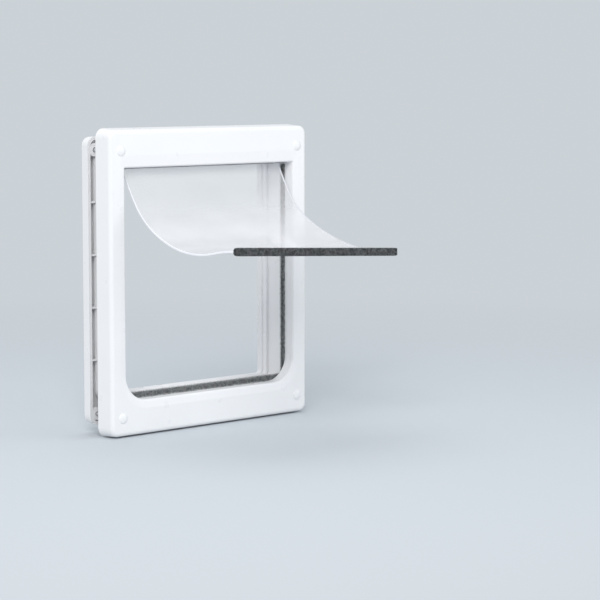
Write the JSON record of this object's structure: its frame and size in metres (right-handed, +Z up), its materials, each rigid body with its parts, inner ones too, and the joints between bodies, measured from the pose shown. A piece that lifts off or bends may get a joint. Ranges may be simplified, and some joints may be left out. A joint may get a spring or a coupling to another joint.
{
  "type": "pet door",
  "caption": "Small pet door for a door leaf: white face frame and indoor trim frame joined through the leaf, soft clear flap on a pivoting rail, dark pile seals and magnetic closing edge.",
  "frame": {"origin": "centre of the outline, in the plane where the face frame's back meets the door leaf", "axes": "+X right seen from outside, +Y indoors through the door leaf, +Z up"},
  "size_m": [0.25, 0.2056, 0.29],
  "materials": {
    "frame_plastic": "smooth white moulded plastic with a soft sheen",
    "cap_plastic": "white moulded plastic",
    "rail_plastic": "off-white moulded plastic",
    "bush_plastic": "natural slippery plastic",
    "channel_plastic": "dark grey extruded plastic",
    "film": "clear soft vinyl, slightly milky",
    "pile": "short dark grey pile",
    "magnet": "dull grey magnets",
    "insert_brass": "plain turned brass",
    "screw_steel": "zinc-plated steel",
    "pin_steel": "drawn steel"
  },
  "bodies": {
    "frame": {"outer_frame": "frame_plastic", "inner_frame": "frame_plastic", "frame_pile": "pile", "sill_magnets": "magnet", "screw_inserts": "insert_brass", "frame_screws": "screw_steel", "screw_caps": "cap_plastic", "hinge_bushes": "bush_plastic"},
    "flap_top": {"hinge_pins": "pin_steel", "flap_rail_front": "rail_plastic", "flap_rail_back": "rail_plastic", "rail_screws": "screw_steel", "flap_film": "film"},
    "flap_edge": {"flap_edge_channel": "channel_plastic", "flap_edge_pile": "pile", "flap_magnets": "magnet"}
  },
  "joints": [
    {"name": "flap_swing", "type": "hinge", "parent": "frame", "child": "flap_top", "pos_m": [0, -0.00276, 0.1113], "axis": [1, 0, 0], "range_deg": [-8, 100]},
    {"name": "flap_bend", "type": "hinge", "parent": "flap_top", "child": "flap_edge", "pos_m": [0, -0.0898, 0.0174], "axis": [1, 0, 0], "range_deg": [-7, 81], "deforming": ["flap_film"]}
  ],
  "couplings": [
    {"joint": "flap_bend", "follows": "flap_swing", "ratio": 0.8}
  ]
}
